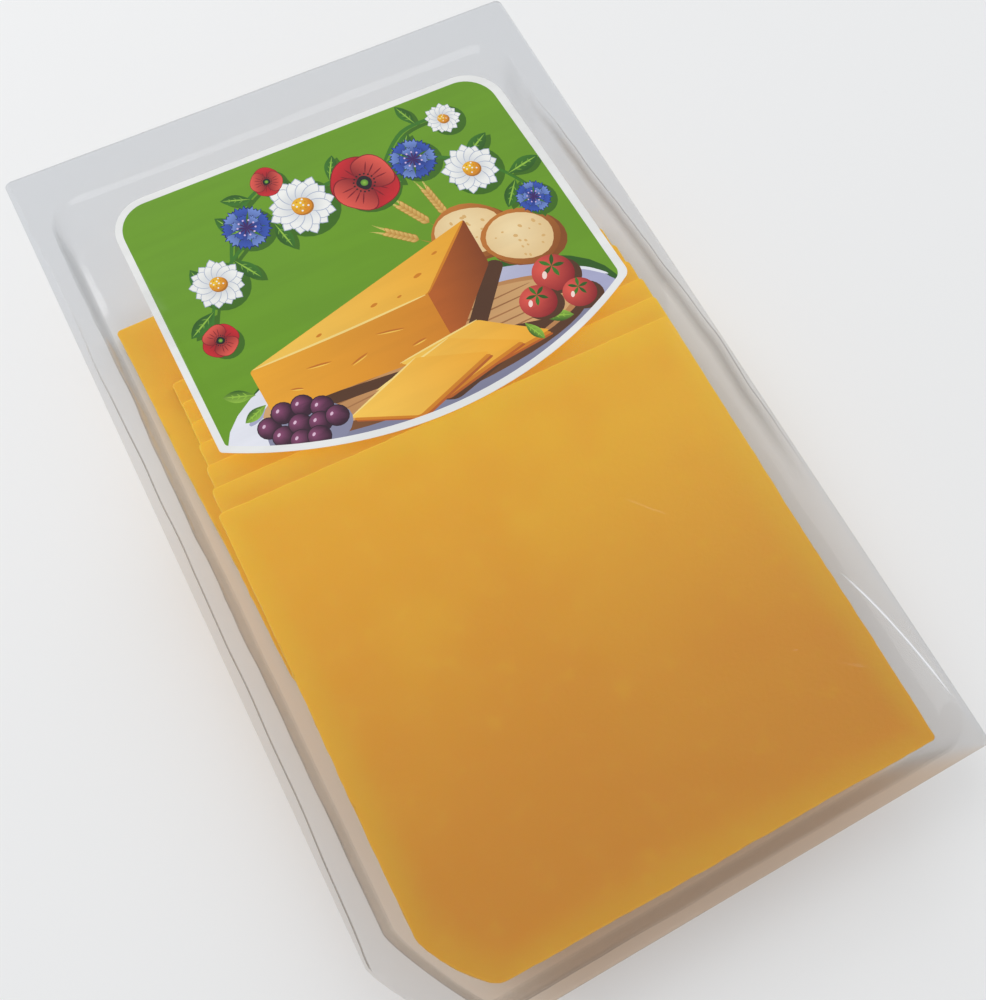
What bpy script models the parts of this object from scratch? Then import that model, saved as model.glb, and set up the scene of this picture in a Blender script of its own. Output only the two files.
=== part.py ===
"""A sealed tray pack of sliced cheddar, lying flat with its label up.

A clear formed tray with a flat flange holds square slices in a shingled stack.
A clear film lies on the flange over the tray, and a label is stuck on the film
near the far end. Places in plan are given as u, the distance to the right of
the pack's left edge, and v, the distance from its far edge towards the near end.
"""

import math
import random

import bmesh
import bpy

MM = 0.001

# Pack outline. The near left corner is cut off, the other corners are nearly square.
PACK_WIDTH = 127.0 * MM
PACK_LENGTH = 207.0 * MM
SQUARE_CORNER = 1.5 * MM
CUT_CORNER_WIDTH = 14.0 * MM
CUT_CORNER_LENGTH = 21.0 * MM

# Tray: one formed sheet. Flange widths run from the pack's edge to the cavity's rim.
SHEET = 0.5 * MM
FLANGE_LEFT = 5.7 * MM
FLANGE_RIGHT = 3.0 * MM
FLANGE_FAR = 8.5 * MM
FLANGE_NEAR = 2.8 * MM
RIM_RADIUS = 8.0 * MM
RIM_CUT_WIDTH = 12.0 * MM
RIM_CUT_LENGTH = 22.0 * MM
WALL_DRAFT = 1.4 * MM
FLOOR_RADIUS = 1.5 * MM
RIM_ROLL = 0.8 * MM

# Slices, bottom one first: where the far left corner lies, and how each is turned.
SLICE_WIDTH = 107.5 * MM
SLICE_LENGTH = 105.5 * MM
SLICE_THICK = 1.9 * MM
SLICE_CORNER = 1.0 * MM
SLICE_CUT_WIDTH = 11.0 * MM
SLICE_CUT_LENGTH = 14.5 * MM
SLICE_CUT_CURVE = 0.26
SLICE_EDGE_WOBBLE = 0.2 * MM
FIRST_SLICE_U = 8.2 * MM
FIRST_SLICE_V = 36.7 * MM
FIRST_SLICE_TURN = 1.4
SHINGLED_SLICES = 7
SHINGLE_V = 55.9 * MM
SHINGLE_STEP = 6.45 * MM
SHINGLE_TURN = -0.6
# The left ends of the shingled slices drift left, the upper ones more.
SHINGLE_U = 14.5 * MM
SHINGLE_DRIFT = 0.095 * MM

# Film and label.
FILM_THICK = 0.2 * MM
FILM_CLEARANCE = 0.3 * MM
LABEL_THICK = 0.15 * MM
LABEL_LEFT = 17.0 * MM
LABEL_RIGHT = 116.8 * MM
LABEL_RIGHT_FAR = 113.7 * MM
LABEL_FAR = 17.2 * MM
LABEL_SIDE_END = 82.0 * MM
LABEL_ARC_END = 95.6 * MM
LABEL_CORNER = 9.0 * MM

# Touching pieces keep this gap.
GAP = 0.3 * MM

CORNER_STEPS = 8
ARC_STEPS = 20
FILLET_STEPS = 4
EDGE_SPACING = 9.0 * MM
# Weight of a curve's middle point that makes a round corner, and one that nearly cuts it straight.
ROUND = math.cos(math.radians(45))
ALMOST_STRAIGHT = 0.12

SLICE_COUNT = 1 + SHINGLED_SLICES
SLICE_PITCH = SLICE_THICK + GAP
STACK_TOP = SHEET + SLICE_COUNT * SLICE_PITCH
FILM_BOTTOM = STACK_TOP + FILM_CLEARANCE
FLANGE_TOP = FILM_BOTTOM - GAP
LABEL_BOTTOM = FILM_BOTTOM + FILM_THICK + GAP


def clear_scene():
    """Takes every object out of the open scene."""
    for thing in list(bpy.data.objects):
        bpy.data.objects.remove(thing, do_unlink=True)


def material(name, colour, roughness, alpha=1.0):
    """Makes a Principled material. An alpha under one shows what lies behind."""
    made = bpy.data.materials.new(name)
    made.use_nodes = True
    shader = made.node_tree.nodes["Principled BSDF"]
    shader.inputs["Base Color"].default_value = (*colour, 1.0)
    shader.inputs["Roughness"].default_value = roughness
    shader.inputs["Metallic"].default_value = 0.0
    shader.inputs["Alpha"].default_value = alpha
    made.diffuse_color = (*colour, alpha)
    return made


def on_plan(u, v):
    """Turns a place in plan into x and y about the pack's centre."""
    return u - PACK_WIDTH / 2, PACK_LENGTH / 2 - v


def corner_curve(start, corner, end, weight):
    """Points of a conic from start to end that bends towards corner, more with more weight."""
    points = []
    for step in range(CORNER_STEPS + 1):
        t = step / CORNER_STEPS
        shares = ((1 - t) ** 2, 2 * weight * t * (1 - t), t**2)
        total = sum(shares)
        point = [
            sum(share * place[axis] for share, place in zip(shares, (start, corner, end))) / total
            for axis in (0, 1)
        ]
        points.append(tuple(point))
    return points


def towards(start, goal, length):
    """The point at a length from start on the way to goal."""
    share = length / math.dist(start, goal)
    return tuple(a + (b - a) * share for a, b in zip(start, goal))


def rounded_outline(places, corners):
    """Outline of a four-sided shape, counter-clockwise from above, as u and v.

    places gives the near left, near right, far right and far left corners, and corners
    the width and the length that each one's curve takes, and the curve's weight.
    """
    points = []
    for index, (place, (width, length, weight)) in enumerate(zip(places, corners)):
        before = places[index - 1]
        after = places[(index + 1) % 4]
        first, last = (length, width) if index % 2 == 0 else (width, length)
        points += corner_curve(towards(place, before, first), place, towards(place, after, last), weight)
    return points


def box_corners(left, right, far, near):
    """The near left, near right, far right and far left corners of a rectangle in plan."""
    return (left, near), (right, near), (right, far), (left, far)


def pack_outline():
    """The outer edge of the flange and of the film."""
    square = (SQUARE_CORNER, SQUARE_CORNER, ROUND)
    cut = (CUT_CORNER_WIDTH, CUT_CORNER_LENGTH, ALMOST_STRAIGHT)
    return rounded_outline(box_corners(0.0, PACK_WIDTH, 0.0, PACK_LENGTH), (cut, square, square, square))


def rim_outline(inset):
    """The cavity's rim, moved in by inset all round."""
    small = (RIM_RADIUS - inset, RIM_RADIUS - inset, ROUND)
    cut = (RIM_CUT_WIDTH - inset, RIM_CUT_LENGTH - inset, ALMOST_STRAIGHT)
    places = box_corners(
        FLANGE_LEFT + inset,
        PACK_WIDTH - FLANGE_RIGHT - inset,
        FLANGE_FAR + inset,
        PACK_LENGTH - FLANGE_NEAR - inset,
    )
    return rounded_outline(places, (cut, small, small, small))


def quarter_round(radius, inset, height):
    """Insets and heights up a quarter round from a floor at height to a wall at inset."""
    points = []
    for step in range(FILLET_STEPS + 1):
        angle = math.radians(90) * step / FILLET_STEPS
        points.append((inset + radius * (1 - math.sin(angle)), height + radius * (1 - math.cos(angle))))
    return points


def rim_roll(radius, inset, top):
    """Insets and heights of the rounded bend from a wall at inset up to a flange at top."""
    points = []
    for step in range(FILLET_STEPS + 1):
        angle = math.radians(90) * step / FILLET_STEPS
        points.append((inset - radius * (1 - math.cos(angle)), top - radius * (1 - math.sin(angle))))
    return points


def cavity_profile():
    """The wall's inner face from floor to flange, then its outer face back down."""
    inner = quarter_round(FLOOR_RADIUS, WALL_DRAFT, SHEET)
    inner += rim_roll(RIM_ROLL, 0.0, FLANGE_TOP)
    outer = quarter_round(FLOOR_RADIUS + SHEET, WALL_DRAFT - SHEET, 0.0)
    outer += rim_roll(RIM_ROLL - SHEET, -SHEET, FLANGE_TOP - SHEET)
    return inner, outer[::-1]


def add_loop(mesh, outline, height):
    """Adds an outline's vertices at one height."""
    return [mesh.verts.new((*on_plan(u, v), height)) for u, v in outline]


def bridge(mesh, lower, upper):
    """Joins two loops of equal length with quads."""
    for index in range(len(lower)):
        after = (index + 1) % len(lower)
        mesh.faces.new((lower[index], lower[after], upper[after], upper[index]))


def finish_mesh(name, mesh, look, smooth_angle=None):
    """Turns a closed bmesh into a named object with its faces pointing out."""
    bmesh.ops.recalc_face_normals(mesh, faces=mesh.faces)
    data = bpy.data.meshes.new(name)
    mesh.to_mesh(data)
    mesh.free()
    if smooth_angle is not None:
        data.shade_smooth()
        data.set_sharp_from_angle(angle=math.radians(smooth_angle))
    data.materials.append(look)
    thing = bpy.data.objects.new(name, data)
    bpy.context.scene.collection.objects.link(thing)
    return thing


def plate(name, outline, bottom, thick, look):
    """A flat plate of even thickness, standing in its own frame about its bottom's middle."""
    mesh = bmesh.new()
    lower = add_loop(mesh, outline, 0.0)
    upper = add_loop(mesh, outline, thick)
    bridge(mesh, lower, upper)
    mesh.faces.new(lower[::-1])
    mesh.faces.new(upper)
    thing = finish_mesh(name, mesh, look)
    thing.location.z = bottom
    return thing


def make_tray():
    """The formed tray: flange, drafted walls and floor in one sheet."""
    mesh = bmesh.new()
    inner, outer = cavity_profile()
    loops = [add_loop(mesh, rim_outline(inset), height) for inset, height in inner]
    loops.append(add_loop(mesh, pack_outline(), FLANGE_TOP))
    loops.append(add_loop(mesh, pack_outline(), FLANGE_TOP - SHEET))
    loops += [add_loop(mesh, rim_outline(inset), height) for inset, height in outer]
    for lower, upper in zip(loops, loops[1:]):
        bridge(mesh, lower, upper)
    mesh.faces.new(loops[0])
    mesh.faces.new(loops[-1][::-1])
    look = material("clear_tray", (0.86, 0.88, 0.90), 0.08, alpha=0.3)
    return finish_mesh("tray", mesh, look, smooth_angle=35)


def make_film():
    """The clear film over the flange and the cavity."""
    look = material("clear_film", (0.90, 0.91, 0.93), 0.12, alpha=0.2)
    return plate("lid_film", pack_outline(), FILM_BOTTOM, FILM_THICK, look)


def label_outline():
    """The label: round corners at the narrower far end, a bulging arc at the near end."""
    far_right = (LABEL_RIGHT_FAR, LABEL_FAR)
    far_left = (LABEL_LEFT, LABEL_FAR)
    near_left = (LABEL_LEFT, LABEL_SIDE_END)
    near_right = (LABEL_RIGHT, LABEL_SIDE_END)
    sides = []
    for before, corner, after in ((near_right, far_right, far_left), (far_right, far_left, near_left)):
        start = towards(corner, before, LABEL_CORNER)
        sides += corner_curve(start, corner, towards(corner, after, LABEL_CORNER), ROUND)
    half = (LABEL_RIGHT - LABEL_LEFT) / 2
    bulge = LABEL_ARC_END - LABEL_SIDE_END
    radius = (half**2 + bulge**2) / (2 * bulge)
    spread = math.asin(half / radius)
    arc = []
    for step in range(ARC_STEPS + 1):
        angle = spread * (2 * step / ARC_STEPS - 1)
        u = LABEL_LEFT + half + radius * math.sin(angle)
        v = LABEL_ARC_END - radius * (1 - math.cos(angle))
        arc.append((u, v))
    return arc + sides


def make_label():
    """The paper label on the film."""
    look = material("label_paper", (0.14, 0.34, 0.02), 0.45)
    return plate("label", label_outline(), LABEL_BOTTOM, LABEL_THICK, look)


def close_points(outline, spacing):
    """Adds points along an outline's long sides, none further apart than spacing."""
    points = []
    for start, end in zip(outline, outline[1:] + outline[:1]):
        steps = max(1, math.ceil(math.dist(start, end) / spacing))
        for step in range(steps):
            share = step / steps
            points.append(tuple(a + (b - a) * share for a, b in zip(start, end)))
    return points


def slice_outline(number):
    """A slice about its own centre: its near left corner cut in a curve, its edges not quite straight."""
    small = (SLICE_CORNER, SLICE_CORNER, ROUND)
    cut = (SLICE_CUT_WIDTH, SLICE_CUT_LENGTH, SLICE_CUT_CURVE)
    half_width = SLICE_WIDTH / 2
    half_length = SLICE_LENGTH / 2
    places = box_corners(-half_width, half_width, -half_length, half_length)
    outline = rounded_outline(places, (cut, small, small, small))
    draw = random.Random(number)
    waves = [(draw.randint(3, 9), draw.uniform(0, math.tau)) for _ in range(3)]
    points = []
    for u, v in close_points(outline, EDGE_SPACING):
        angle = math.atan2(v, u)
        swell = sum(math.sin(count * angle + phase) for count, phase in waves) / len(waves)
        scale = 1 + SLICE_EDGE_WOBBLE * swell / math.hypot(u, v)
        points.append((u * scale, v * scale))
    return points


def slice_place(number):
    """The far left corner and the turn in degrees of a slice, counted from the bottom."""
    if number == 0:
        return FIRST_SLICE_U, FIRST_SLICE_V, FIRST_SLICE_TURN
    step = number - 1
    u = SHINGLE_U - SHINGLE_DRIFT * step**2
    v = SHINGLE_V + SHINGLE_STEP * step
    return u, v, SHINGLE_TURN


def make_slice(number, look):
    """One slice, turned about its centre and lying on the slices below it."""
    mesh = bmesh.new()
    lower, upper = (
        [mesh.verts.new((u, -v, height)) for u, v in slice_outline(number)] for height in (0.0, SLICE_THICK)
    )
    bridge(mesh, lower, upper)
    mesh.faces.new(lower[::-1])
    mesh.faces.new(upper)
    thing = finish_mesh(f"slice_{number + 1}", mesh, look)
    corner_u, corner_v, turn = slice_place(number)
    x, y = on_plan(corner_u, corner_v)
    angle = math.radians(turn)
    across = (math.cos(angle), math.sin(angle))
    along = (math.sin(angle), -math.cos(angle))
    thing.location.x = x + across[0] * SLICE_WIDTH / 2 + along[0] * SLICE_LENGTH / 2
    thing.location.y = y + across[1] * SLICE_WIDTH / 2 + along[1] * SLICE_LENGTH / 2
    thing.location.z = SHEET + GAP + number * SLICE_PITCH
    thing.rotation_euler.z = angle
    return thing


def main():
    clear_scene()
    make_tray()
    cheese = material("cheddar", (0.80, 0.42, 0.06), 0.45)
    for number in range(SLICE_COUNT):
        make_slice(number, cheese)
    make_film()
    make_label()


main()
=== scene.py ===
"""Looks of a sealed tray pack of sliced cheddar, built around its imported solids.

Places in plan are given as u, the distance to the right of the pack's left
edge, and v, the distance from its far edge towards the near end, in metres.
The label's print is drawn in millimetres from the label's far left corner,
a to the right and b towards the near end.
"""

import math
import random

import bmesh
import bpy
import numpy as np
from mathutils import Matrix, Vector, geometry, noise


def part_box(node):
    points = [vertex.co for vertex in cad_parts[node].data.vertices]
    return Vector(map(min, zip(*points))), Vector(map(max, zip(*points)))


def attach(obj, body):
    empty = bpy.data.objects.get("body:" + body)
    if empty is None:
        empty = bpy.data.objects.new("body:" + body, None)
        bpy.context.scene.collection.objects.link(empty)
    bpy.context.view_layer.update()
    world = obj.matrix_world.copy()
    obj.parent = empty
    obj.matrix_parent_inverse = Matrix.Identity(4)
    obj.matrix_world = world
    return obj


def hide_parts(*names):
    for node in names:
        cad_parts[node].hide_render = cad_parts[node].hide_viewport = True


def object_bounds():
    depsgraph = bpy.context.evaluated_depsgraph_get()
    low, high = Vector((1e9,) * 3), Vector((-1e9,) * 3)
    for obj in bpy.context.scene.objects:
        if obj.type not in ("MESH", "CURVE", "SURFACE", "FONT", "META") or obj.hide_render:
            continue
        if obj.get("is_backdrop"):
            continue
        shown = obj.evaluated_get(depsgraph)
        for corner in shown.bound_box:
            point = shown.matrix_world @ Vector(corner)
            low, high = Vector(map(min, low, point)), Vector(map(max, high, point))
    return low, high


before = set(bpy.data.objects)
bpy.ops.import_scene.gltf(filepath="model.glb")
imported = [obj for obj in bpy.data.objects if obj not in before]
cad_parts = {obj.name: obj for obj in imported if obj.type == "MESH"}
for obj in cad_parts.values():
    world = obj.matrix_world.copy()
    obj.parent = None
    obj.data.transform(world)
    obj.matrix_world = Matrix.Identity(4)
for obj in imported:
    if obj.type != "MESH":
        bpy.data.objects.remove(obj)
CAD_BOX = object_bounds()

MM = 0.001

# Sizes read from the solids.
TRAY_LOW, TRAY_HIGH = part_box("tray")
FILM_LOW, FILM_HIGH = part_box("lid_film")
LABEL_LOW, LABEL_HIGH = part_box("label")
SLICE_NODES = sorted(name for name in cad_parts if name.startswith("slice_"))
TOP_SLICE_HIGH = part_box(SLICE_NODES[-1])[1].z
PACK_WIDTH = FILM_HIGH.x - FILM_LOW.x
PACK_LENGTH = FILM_HIGH.y - FILM_LOW.y
FLANGE_TOP = TRAY_HIGH.z

# The tray's form, as in the solids but for a tighter bend at the rim.
SHEET = 0.5 * MM
FLANGE_LEFT = 5.7 * MM
FLANGE_RIGHT = 3.0 * MM
FLANGE_FAR = 8.5 * MM
FLANGE_NEAR = 2.8 * MM
RIM_RADIUS = 8.0 * MM
RIM_CUT_WIDTH = 12.0 * MM
RIM_CUT_LENGTH = 22.0 * MM
WALL_DRAFT = 1.4 * MM
FLOOR_RADIUS = 1.5 * MM
RIM_ROLL = 0.55 * MM
SQUARE_CORNER = 1.5 * MM
CUT_CORNER_WIDTH = 14.0 * MM
CUT_CORNER_LENGTH = 21.0 * MM
ROUND = math.cos(math.radians(45))
ALMOST_STRAIGHT = 0.12
FLOOR_FLAT_RING = 1.0 * MM
FLOOR_INSETS = (7.5 * MM, 6.0 * MM)
CUT_CORNER_BULGE = 1.0 * MM

# The sheet was drawn unevenly: its right wall leans in at the far end and out further on.
RIGHT_LEAN_FAR = -3.3 * MM
RIGHT_LEAN_NEAR = 2.0 * MM
LEAN_STARTS = 30 * MM
LEAN_ENDS = 105 * MM
RIM_WAVE = 0.4 * MM
RIM_WAVE_SIZE = 13 * MM
FLOOR_SHARE = 0.35
STRAIGHTER_FROM = (120 * MM, 150 * MM)
RIGHT_WALL_FROM = (PACK_WIDTH / 2, PACK_WIDTH - 12 * MM)
FLANGE_WAVE = 0.12 * MM
FLANGE_WAVE_SIZE = 22 * MM
FLAT_AT_RIM = 5 * MM

# Steps of the tray's mesh.
CORNER_STEPS = 18
SIDE_SPACING = 2.2 * MM
SIDE_STEPS = tuple(round(length / SIDE_SPACING) for length in (PACK_WIDTH, PACK_LENGTH) * 2)
FILLET_STEPS = 6
WALL_STEPS = 5
FLANGE_RINGS = 5

# Cheese. Each slice's top is raised by CLOSER, so that the slices rest on each other.
SLICE_SAG = 0.08 * MM
SAG_SIZE = 34 * MM
SLICE_RINGS = (0.12, 0.25, 0.38, 0.5, 0.62, 0.74, 0.82, 0.88, 0.92, 0.95, 0.97, 0.985, 0.995)
EDGE_ROUND = 0.22 * MM
EDGE_STEPS = 3
EDGE_DENT = 0.05 * MM
EDGE_RIPPLE = 0.2 * MM
RIPPLE_SIZE = 2.6 * MM
OUTLINE_SPACING = 1.6 * MM
CLOSER = 0.28 * MM
EDGE_FADE = 9.0 * MM

# Film.
FILM_GRID = 1.1 * MM
FILM_THICK = 0.08 * MM
FILM_OFF_CHEESE = 0.06 * MM
FILM_WAVE = 0.10 * MM
FILM_ON_FLANGE = 0.04 * MM
FILM_INSET = 1.5 * MM
FILM_BOW_LENGTH = 184 * MM
FILM_EDGE_WAVE = 0.8 * MM
FILM_EDGE_WAVE_SIZE = 15 * MM
FILM_EDGE_LINE = 0.2 * MM

# Creases of the film, in millimetres: each a part of a circle about a place in plan, given as
# the circle's u, v and radius, the v at which it starts and ends, its width, its relief and the
# strength of a painted highlight along it, drawn as white haze.
CREASES = (
    (-14.2, 204.7, 139.9, 163.0, 197.0, 0.36, 1.0, 0.95),
    (134.6, 82.7, 64.5, 98.0, 108.0, 0.6, 2.0, 0.0),
    (127.5, 101.2, 48.9, 128.5, 137.5, 0.6, 2.0, 0.0),
    (161.8, 115.8, 83.9, 164.5, 187.5, 2.0, 2.5, 0.0),
)

# Label. It dips a little before the top slice and lies lower at its near end.
LABEL_PAPER = 0.16 * MM
LABEL_BACK_GAP = 0.03 * MM
LABEL_DROP = 0.2 * MM
DROP_FROM = (45 * MM, 95 * MM)
LABEL_DIP = 0.9 * MM
DIP_STARTS = (40 * MM, 80 * MM)
DIP_ENDS = (94 * MM, 80 * MM)
LABEL_WAVE = 0.04 * MM
LABEL_WAVE_SIZE = 38 * MM
LABEL_FADE = 9 * MM

# Camera. The photograph's picture plane is 986 by 1000 pixels.
PHOTO_HEIGHT_PX = 1000
FOCAL_PX = 1161
SENSOR_MM = 36.0
CAMERA_U = 10.4 * MM
CAMERA_V = 186.5 * MM
CAMERA_RISE = 225.8 * MM
TARGET_U = 62.9 * MM
TARGET_V = 117.1 * MM
CAMERA_TURN = 28.1

# Lights: place, aim, width, height and power of each, and the pale room's strength.
LIGHTS = {
    "key": ((-0.48, 0.52, 0.60), (0.0, 0.03, 0.0), 0.45, 0.45, 2.4),
    "right": ((0.80, 0.15, 0.60), (0.0, 0.0, 0.0), 0.55, 0.90, 1.9),
    "far": ((0.15, 1.05, 0.55), (0.0, 0.0, 0.0), 0.80, 0.40, 1.7),
    "near": ((-0.10, -0.85, 0.50), (0.0, -0.1, 0.0), 0.60, 0.35, 1.6),
}
ROOM_COLOUR = (0.96, 0.98, 1.0)
ROOM_STRENGTH = 0.54
FLOOR_GREY = 0.90

# Share of light that the clear plastic mirrors where it is seen head on, and at the most slanting.
HEAD_ON_MIRROR = 0.02
SLANT_MIRROR = 0.5
PLASTIC_HAZE = 0.004
HAZE_COLOUR = (0.9, 0.9, 0.92)

# Clear plastics: the colour of light through them head on and at a slant, their gloss and
# roughness, and the depth of their relief.
TRAY_LOOK = ((0.93, 0.93, 0.93), (0.92, 0.92, 0.92), 0.5, 0.06, 0.02 * MM)
FILM_LOOK = ((0.993, 0.993, 0.993), (0.95, 0.95, 0.95), 0.8, 0.05, 0.03 * MM)
# CUT_LOOK lets much less light through: painted shade on the flange's cut edge.
CUT_LOOK = ((0.72, 0.73, 0.74), (0.6, 0.61, 0.62), 0.7, 0.35, 0.02 * MM)
DARK_EDGE_TO = 60 * MM
DARK_EDGE_FROM = 60 * MM

# Tones of the clear plastic: cool at its far end, warmer at its near one and greyer at its
# right; painted shade along the rim's fold and a cut edge, where the bent plastic turns light
# aside; and a yellowish painted cheese-coloured bounce light beside the stack, darkened by
# painted shade at the near end. Each pair gives the places between which something starts or ends.
FAR_TONE = (0.955, 0.965, 0.98)
NEAR_TONE = (1.0, 0.99, 0.98)
RIGHT_TONE = (0.95, 0.953, 0.958)
FOLD_TONE = (0.42, 0.39, 0.36)
CUT_TONE = (0.74, 0.72, 0.70)
BOUNCE_SHADE_TONE = (1.0, 0.94, 0.87)
BOUNCE_SHADE_NEAR_TONE = (0.95, 0.83, 0.71)
NEAR_FROM = (40 * MM, 110 * MM)
RIGHT_FROM = (70 * MM, 115 * MM)
FOLD_STARTS = (22 * MM, 48 * MM)
FOLD_ENDS = (150 * MM, 115 * MM)
LEFT_FOLD_STARTS = (30 * MM, 75 * MM)
LEFT_FOLD_PALER = (30 * MM, 60 * MM)
LEFT_FOLD_SIZE = 9 * MM
CUT_LINE_STARTS = (30 * MM, 80 * MM)
BOUNCE_SHADE_FROM = (40 * MM, 65 * MM)
BOUNCE_SHADE_REACH = (7.5 * MM, 6 * MM)
BOUNCE_SHADE_RIGHT = 0.1
NEAR_WALL_FROM = (PACK_LENGTH - 18 * MM, PACK_LENGTH - 6 * MM)
NEAR_WALL_LEFT = (8 * MM, 40 * MM)
NEAR_WALL_RIGHT = (PACK_WIDTH - 4 * MM, PACK_WIDTH - 22 * MM)
NEAR_FLANGE_FROM = (PACK_LENGTH - 9 * MM, PACK_LENGTH - 5 * MM)
NEAR_FLANGE_SHARE = 0.85


def srgb(red, green, blue):
    """A linear colour from the values that a screen shows."""
    linear = []
    for value in (red, green, blue):
        part = value / 255
        linear.append(part / 12.92 if part <= 0.04045 else ((part + 0.055) / 1.055) ** 2.4)
    return tuple(linear)


# Cheese colours.
CHEESE_WARM = srgb(242, 177, 10)
CHEESE_YELLOW = srgb(246, 189, 16)
CHEESE_DEEP = srgb(232, 146, 4)
CHEESE_EDGE = srgb(238, 190, 28)
NEAR_SHADE = 0.73
FAR_SHADE = 0.90

# Label form in millimetres, and the white border round its green field.
LABEL_CORNER = 9.0
LABEL_NEAR_LEFT = 0.5
LABEL_NEAR_RIGHT = 1.5
LABEL_BULGE = 13.6
LABEL_TAPER = 3.1
BORDER = 1.6
RIGHT_BORDER = 2.1
PRINT_GRID = 2.0

# Inks of the print.
PAPER = srgb(240, 240, 238)
FIELD_GREEN = srgb(108, 158, 30)
WHITE = srgb(247, 247, 243)
SILVER = srgb(196, 203, 214)
YELLOW = srgb(250, 206, 46)
AMBER = srgb(222, 140, 24)
BLUE = srgb(58, 92, 190)
NAVY = srgb(20, 34, 104)
SKY = srgb(120, 150, 222)
VIOLET = srgb(70, 20, 92)
LILAC = srgb(216, 190, 236)
RED = srgb(206, 34, 44)
WINE = srgb(130, 12, 30)
CORAL = srgb(236, 92, 78)
BLUSH = srgb(255, 226, 216)
BLACK = srgb(28, 24, 30)
DARK_GREEN = srgb(44, 92, 24)
LEAF_GREEN = srgb(60, 122, 34)
FRESH_GREEN = srgb(150, 196, 66)
SHADE_GREEN = srgb(62, 110, 20)
STRAW = srgb(240, 206, 120)
BRAN = srgb(190, 134, 52)
CLOTH = srgb(236, 237, 246)
CLOTH_SHADE = srgb(172, 173, 206)
WOOD = srgb(190, 132, 80)
WOOD_DARK = srgb(132, 82, 44)
WOOD_LIGHT = srgb(216, 168, 112)
WOOD_SHADE = srgb(86, 52, 30)
CRUMB = srgb(250, 226, 176)
CRUMB_SHADE = srgb(226, 182, 116)
CRUST = srgb(196, 120, 48)
CRUST_DARK = srgb(140, 76, 28)
WEDGE_TOP = srgb(252, 202, 84)
WEDGE_FACE = srgb(244, 172, 44)
WEDGE_SHADE = srgb(216, 132, 28)
WEDGE_GLINT = srgb(255, 224, 136)
RIND = srgb(188, 96, 30)
RIND_DARK = srgb(132, 62, 22)
GRAPE = srgb(146, 74, 116)
GRAPE_DARK = srgb(54, 20, 44)
GRAPE_GLINT = srgb(226, 190, 214)


def on_plan(u, v):
    """Turns a place in plan into x and y."""
    return FILM_LOW.x + u, FILM_HIGH.y - v


def off_plan(x, y):
    """Turns x and y into a place in plan."""
    return x - FILM_LOW.x, FILM_HIGH.y - y


def mix(first, second, share):
    return first + (second - first) * share


def smooth_step(low, high, value):
    """Runs smoothly from 0 at low to 1 at high."""
    share = min(1.0, max(0.0, (value - low) / (high - low)))
    return share * share * (3 - 2 * share)


def waves(x, y, size, seed):
    """Smooth noise from -1 to 1 over a plane."""
    return noise.noise(Vector((x / size, y / size, seed)))


# Materials


def new_material(name):
    made = bpy.data.materials.new(name)
    made.use_nodes = True
    made.node_tree.nodes.clear()
    return made, made.node_tree


def add_node(tree, kind, inputs=None, **settings):
    """Adds a node with its settings, and sets or links its inputs by name or number."""
    made = tree.nodes.new(kind)
    for name, value in settings.items():
        setattr(made, name, value)
    for name, value in (inputs or {}).items():
        socket = made.inputs[name]
        if isinstance(value, bpy.types.NodeSocket):
            tree.links.new(value, socket)
        elif socket.type == "RGBA" and len(value) == 3:
            socket.default_value = (*value, 1.0)
        else:
            socket.default_value = value
    return made


def object_point(tree):
    return add_node(tree, "ShaderNodeTexCoord").outputs["Object"]


def noise_value(tree, point, scale, detail=2.0, roughness=0.5, stretch=(1, 1, 1), turn=0.0):
    """Noise from 0 to 1, scale waves a metre. A stretch under 1 draws it out along that axis."""
    turned = (0.0, 0.0, math.radians(turn))
    placed = add_node(tree, "ShaderNodeMapping", {"Vector": point, "Rotation": turned, "Scale": stretch})
    inputs = {"Vector": placed.outputs[0], "Scale": scale, "Detail": detail, "Roughness": roughness}
    return add_node(tree, "ShaderNodeTexNoise", inputs).outputs["Fac"]


def ramp(tree, value, low, high, to_low=0.0, to_high=1.0, kind="SMOOTHSTEP"):
    """Maps a value between two limits, smoothly unless kind says otherwise, to two others."""
    inputs = {"Value": value, "From Min": low, "From Max": high, "To Min": to_low, "To Max": to_high}
    return add_node(tree, "ShaderNodeMapRange", inputs, interpolation_type=kind).outputs["Result"]


def calculate(tree, operation, first, second):
    return add_node(tree, "ShaderNodeMath", {0: first, 1: second}, operation=operation).outputs[0]


def times(tree, first, second):
    return calculate(tree, "MULTIPLY", first, second)


def blend_colour(tree, share, first, second, kind="MIX"):
    inputs = {0: share, 6: first, 7: second}
    return add_node(tree, "ShaderNodeMix", inputs, data_type="RGBA", blend_type=kind).outputs[2]


def tinted(tree, colour, tint):
    return blend_colour(tree, 1.0, colour, tint, "MULTIPLY")


def bump(tree, height, strength, distance):
    inputs = {"Height": height, "Strength": strength, "Distance": distance}
    return add_node(tree, "ShaderNodeBump", inputs).outputs["Normal"]


def end_material(tree, shader):
    add_node(tree, "ShaderNodeOutputMaterial", {"Surface": shader})


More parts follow.
